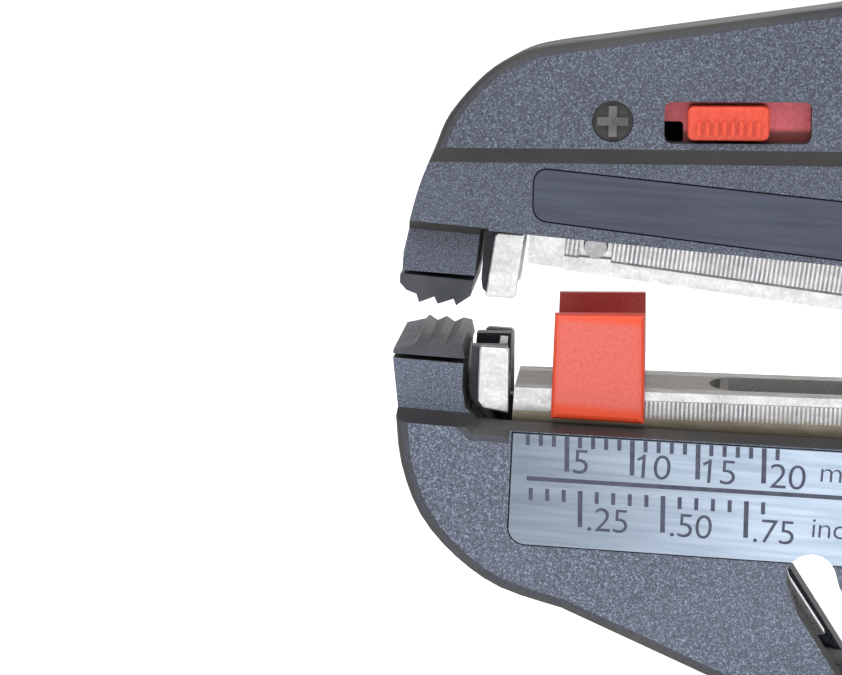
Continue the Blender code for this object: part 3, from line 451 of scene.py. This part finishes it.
def plate_paint(name, dark, light, roughness, metallic, light_span):
    """Brushed plate: fine streaks along it, brighter to the rear between two places in x as painted light.
    """
    paint = Paint(name, light, roughness, metallic)
    lines = paint.noise(2600.0, 4.0, (0.05, 1.0, 1.0))
    clouds = paint.noise(60.0, 2.0)
    mixed = paint.math("ADD", paint.math("MULTIPLY", lines, 0.6), paint.math("MULTIPLY", clouds, 0.4))
    shaded_plate = paint.ramp(mixed, [(0.33, dark), (0.66, light)])
    # Painted light: a lighter copy of the plate's colours, faded in towards the rear.
    bright = paint.ramp(mixed, [(0.33, shaded(dark, 2.4)), (0.66, shaded(light, 2.4))])
    along = paint.span(paint.coordinate("X"), tool(light_span[0], 0.0, 0.0).x, tool(light_span[1], 0.0, 0.0).x)
    paint.link(paint.mix(along, shaded_plate, bright), paint.shader.inputs["Base Color"])
    sheen = paint.span(lines, 0.3, 0.7, roughness + 0.1, roughness - 0.08)
    paint.link(sheen, paint.shader.inputs["Roughness"])
    paint.bump(lines, 0.00001, 0.7)
    return paint.material


def rubber_paint():
    """Soft blue grip with a fine matt grain and darker, pebbled flanks."""
    paint = Paint("rubber_paint", (0.03, 0.07, 0.16), 0.7)
    grain = paint.noise(2400.0, 3.0)
    pebble = paint.noise(900.0, 1.0)
    clouds = paint.noise(70.0, 2.0)
    body = paint.ramp(clouds, [(0.35, (0.022, 0.050, 0.125)), (0.65, (0.032, 0.070, 0.165))])
    flank = paint.span(paint.facing("Y"), 0.86, 0.93)
    paint.link(paint.mix(flank, body, (0.020, 0.024, 0.034)), paint.shader.inputs["Base Color"])
    paint.link(paint.span(grain, 0.3, 0.7, 0.60, 0.80), paint.shader.inputs["Roughness"])
    pebbled = paint.math("MULTIPLY", paint.span(pebble, 0.42, 0.56), flank)
    paint.bump(paint.math("ADD", grain, pebbled), 0.00010, 0.5)
    return paint.material


def shadow_paint(name, shade):
    """Painted shade on the ground between teeth and along the racks' feet, and the moulded discs: shade 1
    is nearly black.
    """
    paint = Paint(name, shaded((0.03, 0.03, 0.03), shade), 0.5)
    mottled_shade = paint.noise(900.0, 3.0)
    dark = shaded((0.016, 0.016, 0.019), shade)
    light = shaded((0.038, 0.036, 0.034), shade)
    paint.link(paint.ramp(mottled_shade, [(0.3, dark), (0.7, light)]), paint.shader.inputs["Base Color"])
    paint.link(paint.span(mottled_shade, 0.3, 0.7, 0.45, 0.65), paint.shader.inputs["Roughness"])
    return paint.material


def ink_paint():
    """Dark printing ink."""
    paint = Paint("ink_paint", (0.03, 0.035, 0.06), 0.5)
    wear = paint.noise(1800.0, 3.0)
    paint.link(paint.ramp(wear, [(0.3, (0.022, 0.026, 0.050)), (0.7, (0.050, 0.056, 0.090))]),
               paint.shader.inputs["Base Color"])
    return paint.material


def bronze_paint():
    """Warm brownish painted shade, streaked like metal, along the foot of the lower drawbar."""
    paint = Paint("bronze_paint", (0.20, 0.16, 0.11), 0.35, 1.0)
    lines = paint.noise(1400.0, 4.0, (0.2, 1.0, 1.0))
    paint.link(paint.ramp(lines, [(0.34, (0.24, 0.205, 0.155)), (0.66, (0.50, 0.435, 0.340))]),
               paint.shader.inputs["Base Color"])
    paint.link(paint.span(lines, 0.3, 0.7, 0.45, 0.28), paint.shader.inputs["Roughness"])
    return paint.material


# ---- mesh helpers --------------------------------------------------------------------------------

def object_from(name, work, paint, body, smooth=None):
    """A bmesh as a finished piece on a body, with one paint."""
    mesh = bpy.data.meshes.new(name)
    bmesh.ops.recalc_face_normals(work, faces=work.faces)
    work.to_mesh(mesh)
    work.free()
    mesh.materials.append(paint)
    if smooth is not None:
        mesh.shade_smooth()
        mesh.set_sharp_from_angle(angle=math.radians(smooth))
    piece = bpy.data.objects.new(name, mesh)
    bpy.context.scene.collection.objects.link(piece)
    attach(piece, body)
    return piece


def add_prism(work, corners, y_start, y_end):
    """An outline in x and z, extruded along y."""
    rings = [[work.verts.new(tool(x, y, z)) for x, z in corners] for y in (y_start, y_end)]
    count = len(corners)
    for index in range(count):
        following = (index + 1) % count
        work.faces.new((rings[0][index], rings[0][following], rings[1][following], rings[1][index]))
    work.faces.new(rings[0][::-1])
    work.faces.new(rings[1])


def add_bar(work, start, end, width, y_start, y_end):
    """A straight bar between two points of the side view."""
    along = (Vector(end) - Vector(start)).normalized()
    across = Vector((-along.y, along.x)) * width / 2
    corners = [Vector(start) - across, Vector(end) - across, Vector(end) + across, Vector(start) + across]
    add_prism(work, [tuple(corner) for corner in corners], y_start, y_end)


def add_ring(work, centre, inner, outer, y_start, y_end, first, last, steps):
    """A raised band round a centre, between two angles in degrees, with softened edges."""
    closed = last - first >= 360.0
    count = steps if closed else steps + 1
    soft = (outer - inner) * RIM_SOFTNESS
    profile = [(inner, y_start), (inner + soft, y_end), (outer - soft, y_end), (outer, y_start)]
    loops = []
    for step in range(count):
        turn = math.radians(first + (last - first) * step / steps)
        loop = []
        for radius, y in profile:
            place = tool(centre[0] + radius * math.cos(turn), y, centre[1] + radius * math.sin(turn))
            loop.append(work.verts.new(place))
        loops.append(loop)
    following = loops[1:] + loops[:1] if closed else loops[1:]
    for near, far in zip(loops, following):
        for corner in range(4):
            after = (corner + 1) % 4
            work.faces.new((near[corner], near[after], far[after], far[corner]))
    if not closed:
        work.faces.new(loops[0][::-1])
        work.faces.new(loops[-1])


# ---- pieces --------------------------------------------------------------------------------------

def add_strip(name, start, end, height, y_face, paint, body):
    """A thin layer on a drawbar's side: painted shade on a rack's ground, along a rack's foot, or along the
    lower drawbar's foot.
    """
    work = bmesh.new()
    corners = [start, end, (end[0], end[1] + height), (start[0], start[1] + height)]
    add_prism(work, corners, y_face, y_face + math.copysign(VALLEY_PROUD, y_face))
    object_from(name, work, paint, body)


def cheek_rims(paint):
    """Raised moulded bands on the hinge cheeks: an arc inside the edge and rings round both pivots."""
    for side, word in SIDES:
        floor = side * RIM_FLOOR
        crest = side * (HOUSING_HALF + RIM_PROUD)
        work = bmesh.new()
        add_ring(work, JAW_PIVOT, *ARC_RADII, floor, crest, *ARC_ANGLES, ARC_STEPS)
        object_from(f"cheek_arc_{word}", work, paint, "lower_body", RIM_SMOOTH)
        for name, centre, radius in PIVOT_RIMS:
            work = bmesh.new()
            outer = radius + PIVOT_RIM_WIDTH
            add_ring(work, centre, radius, outer, floor, crest, 0.0, 360.0, PIVOT_RIM_STEPS)
            object_from(f"{name}_pivot_rim_{word}", work, paint, "lower_body", RIM_SMOOTH)


def rack_teeth(name, start, end, tilt, height, y_face, paint, body):
    """Fine upright ridges on a drawbar's side: start and end are the band's lower edge."""
    work = bmesh.new()
    length = math.hypot(end[0] - start[0], end[1] - start[1])
    along = Vector((math.cos(tilt), math.sin(tilt)))
    up = Vector((-along.y, along.x)) * height
    outward = math.copysign(TOOTH_PROUD, y_face)
    for index in range(int(length / TOOTH_PITCH)):
        foot = Vector(start) + along * (index + 0.5) * TOOTH_PITCH
        root_a = foot - along * TOOTH_PITCH * TOOTH_ROOT
        root_b = foot + along * TOOTH_PITCH * TOOTH_ROOT
        crest_a = foot - along * TOOTH_PITCH * TOOTH_CREST
        crest_b = foot + along * TOOTH_PITCH * TOOTH_CREST
        outline = [(root_a, TOOTH_SUNK), (root_b, TOOTH_SUNK), (crest_b, 1.0), (crest_a, 1.0)]
        rings = []
        for lift in (Vector((0.0, 0.0)), up):
            rings.append([work.verts.new(tool(point.x + lift.x, y_face + outward * level, point.y + lift.y))
                          for point, level in outline])
        for corner in range(4):
            following = (corner + 1) % 4
            work.faces.new((rings[0][corner], rings[0][following], rings[1][following], rings[1][corner]))
        work.faces.new(rings[0][::-1])
        work.faces.new(rings[1])
    object_from(name, work, paint, body)


def scale_line(x):
    """Height of the scale's upper edge on the front."""
    return SCALE_EDGE[1] + (x - SCALE_EDGE[0]) * SCALE_SLOPE


def figure_base(number):
    """Height of a millimetre figure's foot."""
    return MM_FIGURE_FOOT + number * MM_FIGURE_RISE


def scale_marks(ink):
    """Printed graduations, millimetres above the divider and inches below it, and the flags."""
    work = bmesh.new()
    for numbers, pitch, drop, long_mark, short_mark in MARK_ROWS:
        for number in numbers:
            x = SCALE_ZERO_X + number * pitch
            top = scale_line(x) - drop
            length, width = short_mark, SHORT_MARK_WIDTH
            if number % LONG_MARK_EVERY == 0:
                length, width = long_mark, LONG_MARK_WIDTH
            add_bar(work, (x, top), (x + length * MARK_SLANT, top - length), width, INK_FLOOR, INK_FRONT)
    for number in FLAGGED:
        stem = SCALE_ZERO_X + number + FLAG_STEM_X
        top = figure_base(number) + FLAG_RISE
        tip = (stem - FLAG_REACH, top - FLAG_DROP)
        add_bar(work, tip, (stem, top - FLAG_TOP), FLAG_WIDTH, INK_FLOOR, INK_FRONT)
    add_bar(work, *DIVIDER, DIVIDER_WIDTH, INK_FLOOR, INK_FRONT)
    object_from("scale_marks", work, ink, "lower_body")


def scale_text(name, words, x, z, size, ink):
    """One generic figure or unit on the scale, in a thin upright face."""
    curve = bpy.data.curves.new(name, "FONT")
    curve.body = words
    curve.size = size * MM
    curve.extrude = FIGURE_DEPTH * MM
    curve.offset = FIGURE_THINNING * MM
    curve.space_character = FIGURE_SPACING
    text = bpy.data.objects.new(name, curve)
    bpy.context.scene.collection.objects.link(text)
    text.matrix_world = (Matrix.Translation(tool(x, PLATE_FRONT, z))
                         @ Matrix.Rotation(math.radians(90.0), 4, "X")
                         @ Matrix.Rotation(math.radians(FIGURE_TILT), 4, "Z")
                         @ Matrix.Diagonal((FIGURE_WIDTH, 1.0, 1.0, 1.0)))
    curve.materials.append(ink)
    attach(text, "lower_body")


def scale_figures(ink):
    """Figures of both scales and their units."""
    for number, shift in MM_FIGURES:
        x = SCALE_ZERO_X + number + shift
        scale_text(f"scale_mm_{number}", str(number), x, figure_base(number), MM_FIGURE_SIZE, ink)
    for number, words in enumerate(INCH_FIGURES, start=1):
        x = SCALE_ZERO_X + number * LONG_MARK_EVERY * INCH_TWENTIETH + INCH_FIGURE_SHIFT
        foot = INCH_FIGURE_FOOT + number * INCH_FIGURE_RISE
        scale_text(f"scale_inch_{number}", words, x, foot, INCH_FIGURE_SIZE, ink)
    for name, words, x, z in UNITS:
        scale_text(name, words, x, z, UNIT_SIZE, ink)


def sign_disc(name, x, z, upright, shadow, raised):
    """A dark round recess floor with a raised plus or minus sign, on the upper jaw's side."""
    corners = []
    for step in range(DISC_CORNERS):
        turn = 2 * math.pi * step / DISC_CORNERS
        corners.append((x + DISC_RADIUS * math.cos(turn), z + DISC_RADIUS * math.sin(turn)))
    work = bmesh.new()
    add_prism(work, corners, DISC_FLOOR + DISC_SUNK, DISC_FLOOR - DISC_PROUD)
    object_from(f"{name}_disc", work, shadow, "upper_jaw")
    reach, half, tilt = SIGN_REACH, SIGN_HALF, SIGN_TILT
    arms = [((x - reach, z - reach * tilt), (x + reach, z + reach * tilt))]
    if upright:
        arms += [((x + reach * tilt, z - reach), (x + half * tilt, z - half)),
                 ((x - half * tilt, z + half), (x - reach * tilt, z + reach))]
    work = bmesh.new()
    for start, end in arms:
        add_bar(work, start, end, 2 * half, DISC_FLOOR, SIGN_SUNK - HOUSING_HALF)
    object_from(f"{name}_sign", work, raised, "upper_jaw")


def smooth_between(before, start, end, after, t):
    """A value on the smooth curve through four neighbouring stations."""
    bend = start * 2 + (end - before) * t
    bend += (before * 2 - start * 5 + end * 4 - after) * t ** 2
    bend += (start * 3 - before - end * 3 + after) * t ** 3
    return bend / 2


def grip_sections(stations):
    """The stations of a grip with smooth steps between them."""
    sections = []
    last = len(stations) - 1
    for index in range(last):
        neighbours = [Vector(stations[min(max(index + shift, 0), last)]) for shift in (-1, 0, 1, 2)]
        for step in range(GRIP_STEPS):
            sections.append(smooth_between(*neighbours, step / GRIP_STEPS))
    sections.append(Vector(stations[-1]))
    return sections


def groove_share(distance):
    """How deep a finger groove is at a distance from the grip's front end, 0 to 1."""
    if not GROOVE_START < distance < GROOVE_START + GROOVE_PITCH * GROOVE_COUNT:
        return 0.0
    return 0.5 - 0.5 * math.cos(2 * math.pi * (distance - GROOVE_START) / GROOVE_PITCH)


def handle_grip(name, stations, inner_side, node, body, paint):
    """A moulded sleeve with finger grooves on its inner side and a seam along its edges."""
    first, last = stations[0][0], stations[-1][0]
    work = bmesh.new()
    rings = []
    for x, middle, half_height, half_width in grip_sections(stations):
        groove = groove_share(x - first)
        ring = []
        for corner in range(GRIP_CORNERS):
            angle = 2 * math.pi * (corner + 0.5) / GRIP_CORNERS
            cosine, sine = math.cos(angle), math.sin(angle)
            y = math.copysign(abs(cosine) ** GRIP_ROUNDNESS, cosine) * half_width
            z = math.copysign(abs(sine) ** GRIP_ROUNDNESS, sine) * half_height
            z -= inner_side * groove * GROOVE_DEPTH * max(sine * inner_side, 0.0)
            if abs(cosine) < SEAM_HALF and x < last - SEAM_END:
                z -= math.copysign(SEAM_DEPTH, sine)
            ring.append(work.verts.new(tool(x, y, middle + z)))
        rings.append(ring)
    for near, far in zip(rings, rings[1:]):
        for corner in range(GRIP_CORNERS):
            following = (corner + 1) % GRIP_CORNERS
            work.faces.new((near[corner], near[following], far[following], far[corner]))
    work.faces.new(rings[0][::-1])
    work.faces.new(rings[-1])
    grip = object_from(name, work, paint, body, GRIP_SMOOTH)
    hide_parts(node)


# ---- surroundings --------------------------------------------------------------------------------

def add_camera():
    """The camera in front of the tool's nose, a little above it."""
    data = bpy.data.cameras.new("camera")
    data.lens = CAMERA_LENS
    data.sensor_width = SENSOR_WIDTH
    data.clip_start = CLIP_START
    data.clip_end = CLIP_END
    camera = bpy.data.objects.new("camera", data)
    bpy.context.scene.collection.objects.link(camera)
    turn = (Matrix.Rotation(math.radians(CAMERA_AZIMUTH), 4, "Z")
            @ Matrix.Rotation(math.radians(90.0 - CAMERA_ELEVATION), 4, "X")
            @ Matrix.Rotation(math.radians(CAMERA_ROLL), 4, "Z"))
    camera.matrix_world = Matrix.Translation(tool(*CAMERA_PLACE)) @ turn
    bpy.context.scene.camera = camera


def add_light(name, place, aim, size, power):
    """A soft square light aimed at a point."""
    data = bpy.data.lights.new(name, "AREA")
    data.size = size
    data.energy = power
    light = bpy.data.objects.new(name, data)
    bpy.context.scene.collection.objects.link(light)
    light.location = place
    light.rotation_euler = (Vector(aim) - Vector(place)).to_track_quat("-Z", "Y").to_euler()


def add_surroundings():
    """Pale floor, bright room and soft lights."""
    work = bmesh.new()
    bmesh.ops.create_grid(work, x_segments=1, y_segments=1, size=FLOOR_HALF)
    mesh = bpy.data.meshes.new("floor")
    work.to_mesh(mesh)
    work.free()
    floor = bpy.data.objects.new("floor", mesh)
    bpy.context.scene.collection.objects.link(floor)
    paint = Paint("floor_paint", (FLOOR_SHADE, FLOOR_SHADE, FLOOR_SHADE), 0.9)
    mesh.materials.append(paint.material)
    world = bpy.data.worlds.new("room")
    world.use_nodes = True
    background = world.node_tree.nodes["Background"]
    background.inputs["Color"].default_value = (1.0, 1.0, 1.0, 1.0)
    background.inputs["Strength"].default_value = ROOM_STRENGTH
    bpy.context.scene.world = world
    for name, place, size, power in LIGHTS:
        add_light(name, place, LIGHT_AIM, size, power)
    bpy.context.scene.view_settings.view_transform = "Standard"


# ---- main ----------------------------------------------------------------------------------------

def soften(node):
    """Break the sharp edges of a machined piece a little."""
    bevel = node.modifiers.new("broken_edges", "BEVEL")
    bevel.width = EDGE_BREAK
    bevel.segments = 2
    bevel.limit_method = "ANGLE"
    bevel.angle_limit = math.radians(BREAK_ANGLE)


def make_paints():
    """The paints of the record's slots, and those of the added pieces."""
    return {
        "housing_blue": housing_paint("housing_paint", 0.94),
        "jaw_steel": blued_paint(),
        "bright_steel": steel_paint("bright_paint", STEEL_DARK, STEEL_LIGHT, 0.30, 1400.0, LENGTHWISE),
        "blade_steel": steel_paint("blade_paint", (0.46, 0.46, 0.47), (0.68, 0.69, 0.71), 0.26, 1500.0,
                                   (1.0, 1.0, 0.15)),
        "stop_red": red_paint(),
        "scale_blue": plate_paint("scale_paint", (0.116, 0.143, 0.186), (0.184, 0.220, 0.266), 0.42, 0.3,
                                  (10.0, 32.0)),
        "label_blue": plate_paint("label_paint", (0.021, 0.026, 0.045), (0.040, 0.048, 0.076), 0.48, 0.1,
                                  (60.0, 90.0)),
        "grip_rubber": rubber_paint(),
        "screw_zinc": steel_paint("zinc_paint", (0.48, 0.48, 0.50), (0.68, 0.68, 0.70), 0.34, 1200.0, EVEN),
        "bar_foot_shade": bronze_paint(),
        "turned": steel_paint("turned_paint", (0.30, 0.30, 0.31), (0.44, 0.44, 0.45), 0.36, 1600.0, EVEN),
        "ink": ink_paint(),
        "shadow": shadow_paint("shadow_paint", 1.0),
        # Painted shade between the teeth and along the upper racks' feet; the pale copy is for the more
        # brightly lit upper racks.
        "valley": shadow_paint("valley_paint", 11.0),
        "mottled_shade": shadow_paint("rack_foot_shade_paint", 6.0),
        "pale_valley": shadow_paint("pale_valley_paint", 17.0),
        "sign": shadow_paint("sign_paint", 2.6),
    }


def paint_nodes(frame, paints):
    """A procedural material on every CAD node: its own, or else the one of its slot."""
    # The upper shells get a darker copy of the housing paint: painted shade.
    upper = housing_paint("shaded_upper_housing_paint", 0.66)
    bar = steel_paint("bar_paint", STEEL_DARK, STEEL_LIGHT, 0.30, 1400.0, LENGTHWISE, True)
    by_node = {
        "adjust_slider": slide_paint(),
        "upper_front_shell": upper,
        "upper_rear_shell": upper,
        "lower_drawbar": bar,
        "lever_core": paints["jaw_steel"],
        "upper_bar_pin": paints["turned"],
        "pivot_stud_front": paints["turned"],
        "pivot_stud_rear": paints["turned"],
        "lever_pivot_pin": paints["turned"],
    }
    for entry in frame["record"]["subparts"]:
        node = frame["nodes"][entry["node"]]
        paint = by_node.get(entry["node"], paints[entry["material_slot"]])
        if not node.material_slots:
            node.data.materials.append(paint)
        for slot in node.material_slots:
            slot.material = paint


def dress_bars(paints):
    """Racks and strips of painted shade on both sides of the drawbars."""
    for side, word in SIDES:
        face = side * BAR_HALF
        for name, start, end, tilt, height, body, valley in RACKS:
            add_strip(f"{name}_valley_{word}", start, end, height, face, paints[valley], body)
            rack_teeth(f"{name}_{word}", start, end, tilt, height, face, paints["bright_steel"], body)
        for name, start, end in UPPER_FOOT_SHADES:
            add_strip(f"{name}_{word}", start, end, FOOT_SHADE_HEIGHT, face, paints["mottled_shade"], "upper_bar")
        # Painted shade: a brownish strip along the foot of the lower drawbar.
        face = side * (BAR_HALF + BAR_FOOT_PROUD)
        name = f"lower_bar_foot_{word}"
        add_strip(name, *BAR_FOOT, BAR_FOOT_HEIGHT, face, paints["bar_foot_shade"], "lower_bar")


def main():
    """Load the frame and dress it."""
    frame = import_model()
    add_camera()
    add_surroundings()
    paints = make_paints()
    for name in SOFTENED:
        soften(frame["nodes"][name])
    paint_nodes(frame, paints)
    dress_bars(paints)
    scale_marks(paints["ink"])
    scale_figures(paints["ink"])
    cheek_rims(paints["housing_blue"])
    for name, x, z, upright in SIGNS:
        sign_disc(name, x, z, upright, paints["shadow"], paints["sign"])
    grip = paints["grip_rubber"]
    handle_grip("lower_grip_sleeve", LOWER_GRIP, 1.0, "lower_handle_grip", "lower_body", grip)
    handle_grip("upper_grip_sleeve", UPPER_GRIP, -1.0, "upper_handle_grip", "lever", grip)


main()
